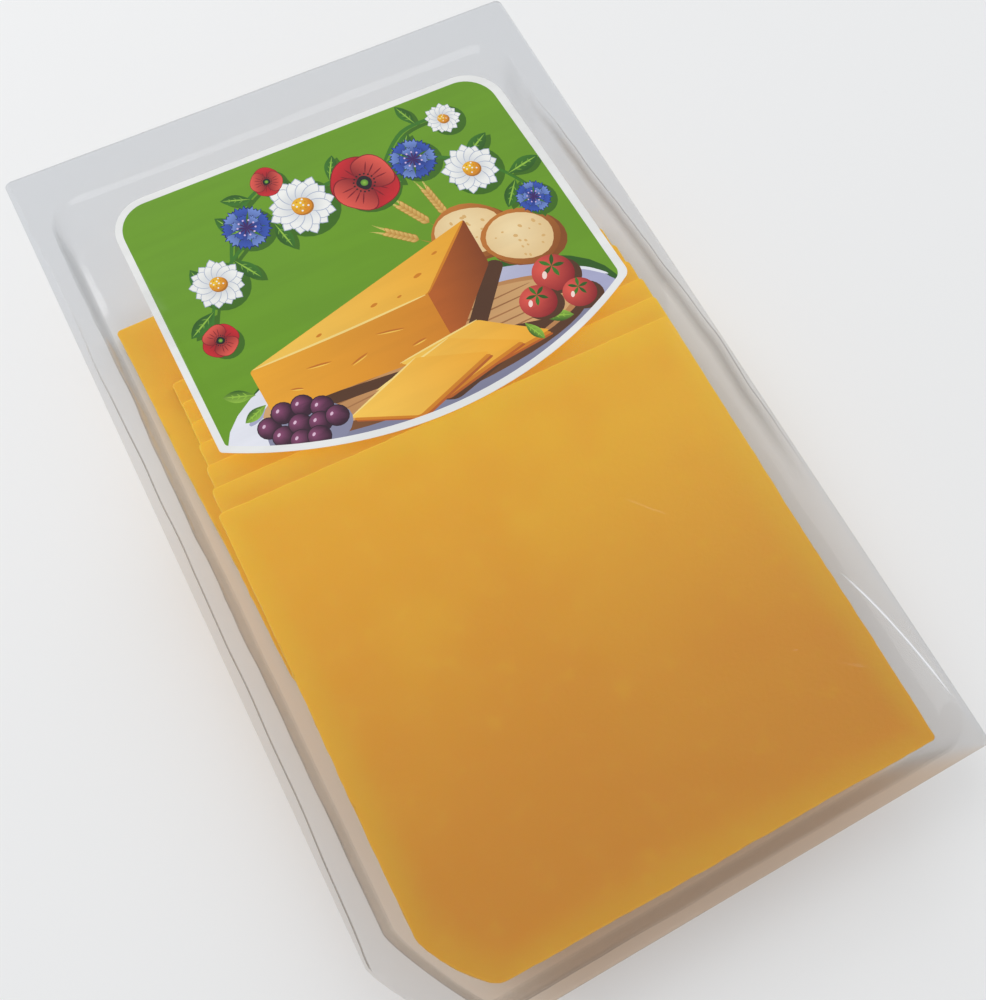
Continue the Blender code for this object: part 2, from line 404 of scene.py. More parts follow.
def clear_material(name, tint, slant_tint, gloss, roughness, depth, haze, height):
    """Thin clear plastic, darker and more of a mirror where it is seen at a slant.

    haze and height are functions that give the share of haze and the surface's relief, of which
    depth is the size.
    """
    made, tree = new_material(name)
    point = object_point(tree)
    normal = bump(tree, height(tree, point), 1.0, depth)
    slant = add_node(tree, "ShaderNodeLayerWeight", {"Blend": 0.5, "Normal": normal}).outputs["Facing"]
    see_colour = blend_colour(tree, ramp(tree, slant, 0.5, 1.0), tint, slant_tint)
    tone = add_node(tree, "ShaderNodeAttribute", attribute_name="tone").outputs["Color"]
    see_colour = tinted(tree, see_colour, tone)
    see = add_node(tree, "ShaderNodeBsdfTransparent", {"Color": see_colour})
    gloss_inputs = {"Color": (gloss, gloss, gloss), "Roughness": roughness, "Normal": normal}
    mirror = add_node(tree, "ShaderNodeBsdfGlossy", gloss_inputs)
    steep = calculate(tree, "POWER", slant, 5.0)
    mirrored = ramp(tree, steep, 0.0, 1.0, HEAD_ON_MIRROR, SLANT_MIRROR, "LINEAR")
    both = add_node(tree, "ShaderNodeMixShader", {0: mirrored, 1: see.outputs[0], 2: mirror.outputs[0]})
    dull = add_node(tree, "ShaderNodeBsdfDiffuse", {"Color": HAZE_COLOUR})
    inputs = {0: haze(tree, point), 1: both.outputs[0], 2: dull.outputs[0]}
    whole = add_node(tree, "ShaderNodeMixShader", inputs)
    end_material(tree, whole.outputs[0])
    return made


def tray_relief(tree, point):
    """Soft ripples of a formed sheet."""
    return noise_value(tree, point, 160.0, detail=3.0)


def crease(tree, point, u, v, radius, start, end, width):
    """1 along a thin part of a circle, as CREASES gives it, and 0 elsewhere."""
    x, y = on_plan(u * MM, v * MM)
    in_plan = add_node(tree, "ShaderNodeVectorMath", {0: point, 1: (1, 1, 0)}, operation="MULTIPLY")
    inputs = {0: in_plan.outputs[0], 1: (x, y, 0)}
    arm = add_node(tree, "ShaderNodeVectorMath", inputs, operation="DISTANCE").outputs["Value"]
    off = calculate(tree, "ABSOLUTE", calculate(tree, "SUBTRACT", arm, radius * MM), 0.0)
    line = ramp(tree, off, width * MM, 0.0)
    place = add_node(tree, "ShaderNodeSeparateXYZ", {"Vector": point}).outputs["Y"]
    fade_out = (end - start) / 4 * MM
    low, high = on_plan(0, end * MM)[1], on_plan(0, start * MM)[1]
    line = times(tree, line, ramp(tree, place, high, high - fade_out))
    return times(tree, line, ramp(tree, place, low, low + fade_out))


def film_relief(tree, point):
    """Slight waves of the film, with a few fine wrinkles and creases."""
    height = noise_value(tree, point, 110.0, detail=3.0)
    lines = noise_value(tree, point, 95.0, detail=2.0, stretch=(0.16, 1, 1), turn=-24)
    height = calculate(tree, "ADD", height, ramp(tree, lines, 0.66, 0.72, 0.0, 1.6))
    for *values, relief, _ in CREASES:
        ridge = times(tree, crease(tree, point, *values), relief)
        height = calculate(tree, "ADD", height, ridge)
    return height


def film_haze(tree, point):
    """The film's slight haze, and a painted highlight along a sharp crease, drawn as white haze."""
    haze = PLASTIC_HAZE
    # Painted highlight along a crease, drawn as white haze.
    for *values, _, painted_glint in CREASES:
        if painted_glint:
            white = times(tree, crease(tree, point, *values), painted_glint)
            haze = calculate(tree, "ADD", haze, white)
    return haze


def even_haze(tree, point):
    """The slight haze of the tray."""
    return PLASTIC_HAZE


def cheese_material():
    """Cheddar: orange yellow in soft patches, yellower near its cut edges, deeper towards the near end.

    The deeper orange is partly the cheese's own hue and partly painted shade, and painted shade
    also darkens it at the near end and a little at the far end.
    """
    made, tree = new_material("cheddar")
    point = object_point(tree)
    patches = noise_value(tree, point, 26.0, detail=2.0, roughness=0.55)
    fine = noise_value(tree, point, 160.0, detail=3.0, roughness=0.6)
    colour = blend_colour(tree, ramp(tree, patches, 0.42, 0.62), CHEESE_WARM, CHEESE_YELLOW)
    place = add_node(tree, "ShaderNodeSeparateXYZ", {"Vector": point}).outputs["Y"]
    # Deeper orange towards the near end: partly the cheese's own hue, partly painted shade.
    nearness = ramp(tree, place, 0.04, -0.09, 0.0, 0.8)
    colour = blend_colour(tree, nearness, colour, CHEESE_DEEP)
    colour = blend_colour(tree, ramp(tree, fine, 0.55, 0.75, 0.0, 0.25), colour, CHEESE_YELLOW)
    edge = add_node(tree, "ShaderNodeAttribute", attribute_name="from_edge").outputs["Fac"]
    colour = blend_colour(tree, ramp(tree, edge, 1.0, 0.0, 0.0, 0.5), colour, CHEESE_EDGE)
    # Painted shade: darker towards the near end, and a little darker at the far end.
    near_shade = ramp(tree, place, 0.02, -0.10, 1.0, NEAR_SHADE)
    far_shade = ramp(tree, place, 0.035, 0.06, 1.0, FAR_SHADE)
    colour = tinted(tree, colour, times(tree, near_shade, far_shade))
    pores = noise_value(tree, point, 900.0, detail=2.0)
    inputs = {
        "Base Color": colour,
        "Roughness": ramp(tree, fine, 0.3, 0.7, 0.36, 0.52),
        "Subsurface Weight": 0.35,
        "Subsurface Radius": (1.0, 0.45, 0.12),
        "Subsurface Scale": 0.004,
        "IOR": 1.45,
        "Normal": bump(tree, pores, 0.25, 0.0002),
    }
    end_material(tree, add_node(tree, "ShaderNodeBsdfPrincipled", inputs).outputs[0])
    return made


def label_material():
    """Printed paper: the ink over each place, with faint streaks and a fine grain under a satin varnish."""
    made, tree = new_material("printed_paper")
    point = object_point(tree)
    ink = add_node(tree, "ShaderNodeAttribute", attribute_name="ink").outputs["Color"]
    lines = noise_value(tree, point, 260.0, detail=3.0, stretch=(0.12, 1, 1))
    clouds = noise_value(tree, point, 45.0, detail=2.0)
    streaks = blend_colour(tree, ramp(tree, lines, 0.35, 0.65), (0.95, 0.95, 0.95), (1.0, 1.0, 1.0))
    ink = tinted(tree, ink, streaks)
    patches = blend_colour(tree, ramp(tree, clouds, 0.4, 0.7), (1.0, 1.0, 1.0), (0.96, 0.96, 0.96))
    ink = tinted(tree, ink, patches)
    grain = noise_value(tree, point, 2500.0, detail=2.0)
    inputs = {
        "Base Color": ink,
        "Roughness": ramp(tree, clouds, 0.3, 0.7, 0.38, 0.5),
        "IOR": 1.45,
        "Normal": bump(tree, grain, 0.15, 0.00004),
    }
    end_material(tree, add_node(tree, "ShaderNodeBsdfPrincipled", inputs).outputs[0])
    return made


# Meshes


def link_mesh(name, mesh, looks, smooth_angle=40):
    """Makes a piece from a bmesh, shaded smooth but for its creases."""
    data = bpy.data.meshes.new(name)
    mesh.to_mesh(data)
    mesh.free()
    for look in looks:
        data.materials.append(look)
    data.shade_smooth()
    data.set_sharp_from_angle(angle=math.radians(smooth_angle))
    piece = bpy.data.objects.new(name, data)
    bpy.context.scene.collection.objects.link(piece)
    return piece


def stand_for(piece, slot, *nodes):
    """Puts a finished piece in the place of its CAD nodes."""
    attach(piece, "root")
    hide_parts(*nodes)


def bridge(mesh, lower, upper):
    """Joins two rings of equal length with quads, and gives these."""
    made = []
    for index in range(len(lower)):
        after = (index + 1) % len(lower)
        made.append(mesh.faces.new((lower[index], lower[after], upper[after], upper[index])))
    return made


def towards(start, goal, length):
    """The point at a length from start on the way to goal."""
    share = length / math.dist(start, goal)
    return tuple(mix(a, b, share) for a, b in zip(start, goal))


def quarter_turn(radius, steps):
    """A quarter circle's points, as how far each has still to fall and how far it has risen."""
    angles = [math.radians(90) * step / steps for step in range(steps + 1)]
    return [(radius * (1 - math.sin(angle)), radius * (1 - math.cos(angle))) for angle in angles]


def corner_curve(start, corner, end, weight, steps):
    """Points of a conic from start to end that bends towards corner, more with more weight."""
    points = []
    for step in range(steps + 1):
        t = step / steps
        shares = ((1 - t) ** 2, 2 * weight * t * (1 - t), t**2)
        places = (start, corner, end)
        total = sum(shares)
        points.append(tuple(sum(s * p[axis] for s, p in zip(shares, places)) / total for axis in (0, 1)))
    return points


def plan_outline(left, right, far, near, corners):
    """A four-sided outline, counter-clockwise from above, with extra points along its sides.

    corners gives the near left, near right, far right and far left corners, each as the
    width and the length that the corner takes, and its curve's weight.
    """
    places = ((left, near), (right, near), (right, far), (left, far))
    curves = []
    for index, (place, (width, length, weight)) in enumerate(zip(places, corners)):
        first, last = (length, width) if index % 2 == 0 else (width, length)
        start = towards(place, places[index - 1], first)
        end = towards(place, places[(index + 1) % 4], last)
        curves.append(corner_curve(start, place, end, weight, CORNER_STEPS))
    points = []
    for curve, after, steps in zip(curves, curves[1:] + curves[:1], SIDE_STEPS):
        points += curve
        for step in range(1, steps):
            points.append(tuple(mix(a, b, step / steps) for a, b in zip(curve[-1], after[0])))
    return points


def pack_outline():
    """The outer edge of the tray's flange."""
    square = (SQUARE_CORNER, SQUARE_CORNER, ROUND)
    cut = (CUT_CORNER_WIDTH, CUT_CORNER_LENGTH, ALMOST_STRAIGHT)
    return plan_outline(0.0, PACK_WIDTH, 0.0, PACK_LENGTH, (cut, square, square, square))


def rim_outline(inset):
    """The cavity's rim, moved in by inset all round."""
    small = (RIM_RADIUS - inset, RIM_RADIUS - inset, ROUND)
    cut = (RIM_CUT_WIDTH - inset, RIM_CUT_LENGTH - inset, ALMOST_STRAIGHT)
    return plan_outline(
        FLANGE_LEFT + inset,
        PACK_WIDTH - FLANGE_RIGHT - inset,
        FLANGE_FAR + inset,
        PACK_LENGTH - FLANGE_NEAR - inset,
        (cut, small, small, small),
    )


# Tray


def quarter_round(radius, inset, height):
    """Insets and heights up a quarter round from a floor at height to a wall at inset."""
    return [(inset + fall, height + rise) for fall, rise in quarter_turn(radius, FILLET_STEPS)]


def rim_roll(radius, inset, top):
    """Insets and heights of the rounded bend from a wall at inset up to a flange at top."""
    return [(inset - rise, top - fall) for fall, rise in quarter_turn(radius, FILLET_STEPS)]


def right_lean(v):
    """How far the right rim lies outside its place in the solids."""
    share = min(1.0, max(0.0, (v - LEAN_STARTS) / (LEAN_ENDS - LEAN_STARTS)))
    return mix(RIGHT_LEAN_FAR, RIGHT_LEAN_NEAR, share)


def drawn_place(u, v, height):
    """Where a place of the wall lies after the uneven drawing, moved most at the rim."""
    share = mix(FLOOR_SHARE, 1.0, smooth_step(0.0, 1.0, height / FLANGE_TOP))
    wander = waves(u, v, RIM_WAVE_SIZE, 4.1) + 0.5 * waves(u, v, RIM_WAVE_SIZE / 2.5, 8.7)
    straighter = mix(1.0, 0.35, smooth_step(*STRAIGHTER_FROM, v))
    shift = RIM_WAVE * share * wander * straighter
    inwards = 1 if u < PACK_WIDTH / 2 else -1
    right = smooth_step(*RIGHT_WALL_FROM, u)
    return u + inwards * shift + right * share * right_lean(v), v + shift


def inside_rim(u, v):
    """How far a place lies inside the cavity's rim, below 0 outside it."""
    left, right = FLANGE_LEFT, PACK_WIDTH - FLANGE_RIGHT + right_lean(v)
    far, near = FLANGE_FAR, PACK_LENGTH - FLANGE_NEAR
    across, lengthways = min(u - left, right - u), min(v - far, near - v)
    if across < RIM_RADIUS and lengthways < RIM_RADIUS:
        inside = RIM_RADIUS - math.hypot(RIM_RADIUS - across, RIM_RADIUS - lengthways)
    else:
        inside = min(across, lengthways)
    cut_u = (u - left) * RIM_CUT_LENGTH
    cut_v = (v - near + RIM_CUT_LENGTH) * RIM_CUT_WIDTH
    from_cut = (cut_u - cut_v) / math.hypot(RIM_CUT_WIDTH, RIM_CUT_LENGTH)
    return min(inside, from_cut + CUT_CORNER_BULGE)


def flange_lift(u, v):
    """Slight waves of the flange, none at the rim."""
    away = smooth_step(0.0, FLAT_AT_RIM, -inside_rim(u, v))
    return FLANGE_WAVE * away * (waves(u, v, FLANGE_WAVE_SIZE, 2.2) - 0.6)


def plain_tone(u, v):
    """The plastic's tone at a place in plan."""
    near = mix_colour(NEAR_TONE, RIGHT_TONE, smooth_step(*RIGHT_FROM, u))
    return mix_colour(FAR_TONE, near, smooth_step(*NEAR_FROM, v))


def fold_darkness(u, v):
    """How dark the painted shade along the rim's fold is: none at the far end, most at the right, broken at
    the left.
    """
    if u > PACK_WIDTH / 2:
        return smooth_step(*FOLD_STARTS, v) * smooth_step(*FOLD_ENDS, v)
    broken = mix(0.35, 0.9, 0.5 + 0.5 * waves(u, v, LEFT_FOLD_SIZE, 1.7))
    return smooth_step(*LEFT_FOLD_STARTS, v) * broken * mix(1.0, 0.2, smooth_step(*LEFT_FOLD_PALER, u))


def bounce_shade_tone(u, v, share):
    """The tone at a place with a share of painted cheese-coloured bounce light and painted shade: most at
    the left and near sides of the stack.
    """
    side = mix(1.0, BOUNCE_SHADE_RIGHT, smooth_step(*RIGHT_WALL_FROM, u))
    near = smooth_step(*NEAR_WALL_FROM, v)
    amount = smooth_step(*BOUNCE_SHADE_FROM, v) * max(side, near * smooth_step(*NEAR_WALL_RIGHT, u))
    bounce_shade = mix_colour(BOUNCE_SHADE_TONE, BOUNCE_SHADE_NEAR_TONE, near * smooth_step(*NEAR_WALL_LEFT, u))
    return mix_colour(plain_tone(u, v), bounce_shade, share * amount)


def near_flange_share(v):
    """How much of the wall's painted bounce light and shade the near flange and its roll show too."""
    return NEAR_FLANGE_SHARE * smooth_step(*NEAR_FLANGE_FROM, v)


def wall_ring(mesh, tone, inset, height):
    """A ring of the wall, at one inset from the rim and one height."""
    ring = []
    folded = smooth_step(RIM_ROLL * 0.25, 0.0, abs(inset + RIM_ROLL * 0.5))
    for u, v in rim_outline(inset):
        at_u, at_v = drawn_place(u, v, height)
        vertex = mesh.verts.new((*on_plan(at_u, at_v), height))
        # Painted cheese-coloured bounce light and painted shade inside the rim beside the stack, and on the
        # near flange.
        inside = smooth_step(-RIM_ROLL, 0.0, inset) * smooth_step(*BOUNCE_SHADE_REACH, inset)
        outside = near_flange_share(v) if inset < 0 else 0.0
        shade = bounce_shade_tone(u, v, max(inside, outside))
        # Painted shade: a dark line along the rim's fold, where the bent plastic turns light aside.
        vertex[tone] = (*mix_colour(shade, FOLD_TONE, folded * fold_darkness(u, v)), 1.0)
        ring.append(vertex)
    return ring


def flange_ring(mesh, tone, share, height):
    """A ring of the flange, at a share of the way from the rim's roll to the pack's edge."""
    ring = []
    for (u, v), (edge_u, edge_v) in zip(rim_outline(-RIM_ROLL), pack_outline()):
        rim_u, rim_v = drawn_place(u, v, FLANGE_TOP)
        at_u = mix(rim_u, edge_u, share)
        at_v = mix(rim_v, edge_v, share)
        vertex = mesh.verts.new((*on_plan(at_u, at_v), height + flange_lift(at_u, at_v)))
        # Painted bounce light and shade on the near flange.
        vertex[tone] = (*bounce_shade_tone(u, v, near_flange_share(v)), 1.0)
        ring.append(vertex)
    return ring


def make_tray(look, edge_look):
    """The formed tray in one sheet: floor, drafted walls, rolled rim and flange, inside and outside."""
    mesh = bmesh.new()
    tone = mesh.verts.layers.float_color.new("tone")
    floor_insets = (*FLOOR_INSETS, WALL_DRAFT + FLOOR_RADIUS + FLOOR_FLAT_RING)
    shares = [step / WALL_STEPS for step in range(1, WALL_STEPS)]
    wall = [(WALL_DRAFT * (1 - k), mix(SHEET + FLOOR_RADIUS, FLANGE_TOP - RIM_ROLL, k)) for k in shares]
    inner = [(inset, SHEET) for inset in floor_insets]
    inner += quarter_round(FLOOR_RADIUS, WALL_DRAFT, SHEET)
    inner += wall + rim_roll(RIM_ROLL, 0.0, FLANGE_TOP)
    outer = [(inset, 0.0) for inset in floor_insets]
    outer += quarter_round(FLOOR_RADIUS + SHEET, WALL_DRAFT - SHEET, 0.0)
    outer += [(inset - SHEET, height) for inset, height in wall]
    outer += rim_roll(RIM_ROLL - SHEET, -SHEET, FLANGE_TOP - SHEET)
    upper = [wall_ring(mesh, tone, inset, height) for inset, height in inner]
    shares = [ring / FLANGE_RINGS for ring in range(1, FLANGE_RINGS + 1)]
    upper += [flange_ring(mesh, tone, share, FLANGE_TOP) for share in shares]
    lower = [flange_ring(mesh, tone, share, FLANGE_TOP - SHEET) for share in shares[::-1]]
    lower += [wall_ring(mesh, tone, inset, height) for inset, height in outer[::-1]]
    for rings in (upper, lower):
        for first, second in zip(rings, rings[1:]):
            bridge(mesh, first, second)
    # The flange's cut edge at the left and near end gets the darker edge look, painted shade.
    for face in bridge(mesh, upper[-1], lower[0]):
        u, v = off_plan(*face.calc_center_median().xy)
        face.material_index = 1 if u < DARK_EDGE_TO and v > DARK_EDGE_FROM else 0
    mesh.faces.new(upper[0])
    mesh.faces.new(lower[-1][::-1])
    bmesh.ops.recalc_face_normals(mesh, faces=mesh.faces)
    piece = link_mesh("formed_tray", mesh, [look, edge_look], 30)
    piece.visible_shadow = piece.visible_diffuse = False
    stand_for(piece, "clear_tray", "tray")


# Cheese


def slice_outline(node):
    """A slice's outline from its solid, counter-clockwise, with points close together, and its middle."""
    low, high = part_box(node)
    middle = (low + high) / 2
    corners = {}
    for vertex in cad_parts[node].data.vertices:
        if vertex.co.z > middle.z:
            corners[(round(vertex.co.x, 6), round(vertex.co.y, 6))] = vertex.co.xy
    around = sorted(corners.values(), key=lambda p: math.atan2(p.y - middle.y, p.x - middle.x))
    points = []
    for start, end in zip(around, around[1:] + around[:1]):
        steps = max(1, math.ceil((end - start).length / OUTLINE_SPACING))
        points += [start.lerp(end, step / steps) for step in range(steps)]
    return points, middle.xy


def cheese_lift(x, y):
    """How far the stack rises or falls at a place, the same for every slice."""
    return SLICE_SAG * waves(x, y, SAG_SIZE, 0.3)


def edge_profile(bottom, top):
    """Insets and heights down a slice's cut edge, round at its top and bottom."""
    upper = [(fall, top - rise) for fall, rise in quarter_turn(EDGE_ROUND, EDGE_STEPS)]
    lower = [(inset, bottom + top - height) for inset, height in upper[::-1]]
    return upper + [(EDGE_DENT, (top + bottom) / 2)] + lower


def make_slice(node, look):
    """A slice with soft cut edges, lying in the stack's slight waves."""
    outline, centre = slice_outline(node)
    low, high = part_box(node)
    bottom = low.z
    top = high.z + CLOSER
    seed = random.Random(node).uniform(0, 40)
    mesh = bmesh.new()
    from_edge = mesh.verts.layers.float.new("from_edge")

    def add_point(x, y, height, depth):
        vertex = mesh.verts.new((x, y, height + cheese_lift(x, y)))
        vertex[from_edge] = min(1.0, depth / EDGE_FADE)
        return vertex

    def add_ring(share, inset, height):
        ring = []
        for point in outline:
            arm = point - centre
            ripple = EDGE_RIPPLE * waves(point.x, point.y, RIPPLE_SIZE, seed + height / MM)
            length = arm.length * share - inset + (ripple if share == 1.0 else 0.0)
            x, y = centre + arm.normalized() * length
            ring.append(add_point(x, y, height, arm.length - length))
        return ring

    rings = [add_ring(share, 0.0, top) for share in SLICE_RINGS]
    rings += [add_ring(1.0, inset, height) for inset, height in edge_profile(bottom, top)]
    rings += [add_ring(share, 0.0, bottom) for share in SLICE_RINGS[::-1]]
    for first, second in zip(rings, rings[1:]):
        bridge(mesh, first, second)
    for ring, height in ((rings[0], top), (rings[-1], bottom)):
        hub = add_point(centre.x, centre.y, height, EDGE_FADE)
        for index in range(len(ring)):
            mesh.faces.new((ring[index], ring[(index + 1) % len(ring)], hub))
    bmesh.ops.recalc_face_normals(mesh, faces=mesh.faces)
    piece = link_mesh(node.replace("slice", "cheddar_slice"), mesh, [look], 60)
    stand_for(piece, "cheddar", node)


# Film


def label_height(u, v):
    """The label's face: it dips before the top slice, lies lower at its near end and has slight waves."""
    x, y = on_plan(u, v)
    near = smooth_step(*DROP_FROM, v)
    dip = smooth_step(*DIP_STARTS, v) * smooth_step(*DIP_ENDS, v)
    wave = 1 + waves(x, y, LABEL_WAVE_SIZE, 6.6)
    return LABEL_HIGH.z - LABEL_DROP * near - LABEL_DIP * dip - LABEL_WAVE * wave


def label_share(u, v):
    """1 under the label, falling to 0 some way round it."""
    left, far = off_plan(LABEL_LOW.x, LABEL_HIGH.y)
    right, near = off_plan(LABEL_HIGH.x, LABEL_LOW.y)
    bulge = LABEL_BULGE * MM * ((2 * u - left - right) / (right - left)) ** 2
    return smooth_step(-LABEL_FADE, 0, min(u - left, right - u, v - far, near - bulge - v))


def film_height(u, v):
    """The film's underside: flat on the flange, close over the cheese, and up to the label's back."""
    x, y = on_plan(u, v)
    inside = smooth_step(0, FLAT_AT_RIM, inside_rim(u, v))
    flange = FLANGE_TOP + FILM_ON_FLANGE + flange_lift(u, v)
    rough = waves(x, y, 30 * MM, 5.5) + 0.35 * waves(x, y, 9 * MM, 7.5) + 1.1
    cheese = TOP_SLICE_HIGH + CLOSER + cheese_lift(x, y) + FILM_OFF_CHEESE + FILM_WAVE * max(0.0, rough)
    label = label_height(u, v) - LABEL_PAPER - LABEL_BACK_GAP - FILM_THICK
    return mix(flange, mix(cheese, label, label_share(u, v)), inside)


def film_edge_shift(v):
    """How far the film's left edge lies inside the flange's: in waves, lower near the cut corner."""
    wave = waves(0.0, v, FILM_EDGE_WAVE_SIZE, 3.3) * mix(1.0, 0.3, smooth_step(*STRAIGHTER_FROM, v))
    bow = math.sin(math.pi * min(1.0, v / FILM_BOW_LENGTH)) ** 0.5
    return FILM_INSET * (0.4 + bow) * 0.85 + FILM_EDGE_WAVE * wave


def make_film(look):
    """The clear film, as a fine sheet trimmed to the pack's outline, with a thin dark left edge."""
    mesh = bmesh.new()
    tone = mesh.verts.layers.float_color.new("tone")
    columns = round(PACK_WIDTH / FILM_GRID)
    rows = round(PACK_LENGTH / FILM_GRID)
    bmesh.ops.create_grid(mesh, x_segments=columns, y_segments=rows, size=0.5)
    first, second = PACK_WIDTH / columns, 2 * PACK_WIDTH / columns
    for vertex in mesh.verts:
        u = (vertex.co.x + 0.5) * PACK_WIDTH
        if abs(u - first) < first / 4:
            u = FILM_EDGE_LINE
        elif abs(u - second) < first / 4:
            u = 2 * FILM_EDGE_LINE
        v = (0.5 - vertex.co.y) * PACK_LENGTH
        vertex.co.x, vertex.co.y = on_plan(u, v)
        # Painted shade: a thin dark line along the film's cut left edge.
        shade = smooth_step(2 * FILM_EDGE_LINE, FILM_EDGE_LINE, u) * smooth_step(*CUT_LINE_STARTS, v)
        vertex[tone] = (*mix_colour((1.0, 1.0, 1.0), CUT_TONE, shade), 1.0)
    trim_to(mesh, pack_outline())
    for vertex in mesh.verts:
        u, v = off_plan(vertex.co.x, vertex.co.y)
        u += smooth_step(FLAT_AT_RIM, 0, u) * film_edge_shift(v)
        vertex.co.x = on_plan(u, v)[0]
        vertex.co.z = film_height(u, v)
    piece = link_mesh("sealed_film", mesh, [look])
    thicken(piece, FILM_THICK)
    piece.visible_shadow = piece.visible_diffuse = False
    stand_for(piece, "clear_film", "lid_film")


def trim_to(mesh, outline):
    """Cuts a flat mesh along each slanting side of a convex outline and drops what lies outside."""
    points = [Vector((*on_plan(u, v), 0.0)) for u, v in outline]
    for start, end in zip(points, points[1:] + points[:1]):
        way = (end - start).normalized()
        if min(abs(way.x), abs(way.y)) < 1e-3:
            continue
        parts = mesh.verts[:] + mesh.edges[:] + mesh.faces[:]
        side = (way.y, -way.x, 0.0)
        bmesh.ops.bisect_plane(
            mesh, geom=parts, dist=1e-7, plane_co=start, plane_no=side, clear_outer=True
        )


def thicken(piece, thickness):
    """Gives a sheet its thickness upwards."""
    modifier = piece.modifiers.new("thickness", "SOLIDIFY")
    modifier.thickness = thickness
    modifier.offset = 1.0
    bpy.context.view_layer.update()
    evaluated = piece.evaluated_get(bpy.context.evaluated_depsgraph_get())
    solid = bpy.data.meshes.new_from_object(evaluated)
    piece.modifiers.clear()
    piece.data = solid


# Print: paints. A shape's paint is a colour, or a function that gives its colour at a place.


def mix_colour(first, second, share):
    share = min(1.0, max(0.0, share))
    return tuple(mix(x, y, share) for x, y in zip(first, second))


def glow(light, dark, place, reach):
    """Light at a place, turning dark at a distance of reach."""
    return lambda a, b: mix_colour(light, dark, math.dist((a, b), place) / reach)


def fade(first, second, start, end):
    """The first colour at start, turning into the second at end."""
    way_a, way_b = end[0] - start[0], end[1] - start[1]
    length = way_a**2 + way_b**2

    def paint(a, b):
        share = ((a - start[0]) * way_a + (b - start[1]) * way_b) / length
        return mix_colour(first, second, share)

    return paint


# Print: outlines


def place_points(points, a, b, turn):
    """Turns points about their origin by degrees, clockwise as seen, and moves them to a place."""
    angle = math.radians(turn)
    cos, sin = math.cos(angle), math.sin(angle)
    return [(a + x * cos - y * sin, b + x * sin + y * cos) for x, y in points]


def along(a, b, length, turn):
    """The place at a length from another in a direction."""
    return place_points([(length, 0.0)], a, b, turn)[0]


def moved(outline, right, nearer):
    return [(a + right, b + nearer) for a, b in outline]


def oval(a, b, across, long, turn=0.0, wobble=0.0, steps=24):
    """An ellipse, or with some wobble a lumpy one."""
    draw = random.Random(round(a * 31 + b * 17))
    phases = [draw.uniform(0, math.tau) for _ in range(3)]
    points = []
    for step in range(steps):
        angle = math.tau * step / steps
        lumps = sum(math.sin((k + 2) * angle + phase) for k, phase in enumerate(phases))
        swell = 1 + wobble * lumps / 3
        points.append((across * swell * math.cos(angle), long * swell * math.sin(angle)))
    return place_points(points, a, b, turn)


def dot(a, b, radius):
    return oval(a, b, radius, radius, steps=6)


def leaf(a, b, length, width, turn, blunt=0.9, steps=8):
    """A leaf or petal that grows from a place in a direction, rounder with a smaller blunt."""
    side = []
    for step in range(1, steps):
        share = step / steps
        side.append((length * share, width / 2 * math.sin(math.pi * share**1.15) ** blunt))
    points = [(0.0, 0.0)] + side + [(length, 0.0)] + [(x, -y) for x, y in side[::-1]]
    return place_points(points, a, b, turn)


def toothed_petal(a, b, length, width, turn):
    """A petal that widens to a ragged end."""
    half = ((0.0, 0.05), (0.45, 0.16), (0.86, 0.5), (0.84, 0.34), (1.0, 0.26), (0.86, 0.12), (0.94, 0.0))
    points = [(length * x, width * y) for x, y in half]
    points += [(length * x, -width * y) for x, y in half[-2::-1]]
    return place_points(points, a, b, turn)


def stroke(points, width, steps=6):
    """A line along a smooth curve through points, thinning to its ends."""
    path = []
    ends = [points[0], *points, points[-1]]
    for p, q, r, s in zip(ends, ends[1:], ends[2:], ends[3:]):
        for step in range(steps):
            t = step / steps
            inner = (2 - 5 * t**2 + 3 * t**3, t + 4 * t**2 - 3 * t**3)
            shares = (-t * (1 - t) ** 2, *inner, -(t**2) * (1 - t))
            path.append([sum(w * k[axis] for w, k in zip(shares, (p, q, r, s))) / 2 for axis in (0, 1)])
    path.append(points[-1])
    left, right = [], []
    for index, (a, b) in enumerate(path):
        before, after = path[max(0, index - 1)], path[min(len(path) - 1, index + 1)]
        angle = math.atan2(after[1] - before[1], after[0] - before[0])
        half = width / 2 * (0.25 + 0.75 * math.sin(math.pi * index / (len(path) - 1)) ** 0.5)
        left.append((a - half * math.sin(angle), b + half * math.cos(angle)))
        right.append((a + half * math.sin(angle), b - half * math.cos(angle)))
    return left + right[::-1]


def rounded(corners, radius):
    """A polygon with its corners rounded."""
    points = []
    for index, corner in enumerate(corners):
        before, after = corners[index - 1], corners[(index + 1) % len(corners)]
        start = towards(corner, before, min(radius, math.dist(corner, before) / 2))
        end = towards(corner, after, min(radius, math.dist(corner, after) / 2))
        points += corner_curve(start, corner, end, 1.0, 4)
    return points


# Print: flowers. Each motif gives its shapes back to front, as an outline and a paint.


def leaf_motif(a, b, length, turn, dark=DARK_GREEN, light=LEAF_GREEN):
    """A leaf with its rib and veins."""
    width = length * 0.42
    sides = place_points([(length / 2, -width / 2), (length / 2, width / 2)], a, b, turn)
    yield leaf(a, b, length, width, turn), fade(light, dark, *sides)
    yield leaf(a, b, length * 0.94, length * 0.05, turn), FRESH_GREEN
    for share in (0.25, 0.45, 0.65):
        root = along(a, b, length * share, turn)
        for bend in (-38, 38):
            vein = leaf(*root, length * 0.2 * (1.2 - share), length * 0.03, turn + bend, steps=4)
            yield vein, mix_colour(light, FRESH_GREEN, 0.5)


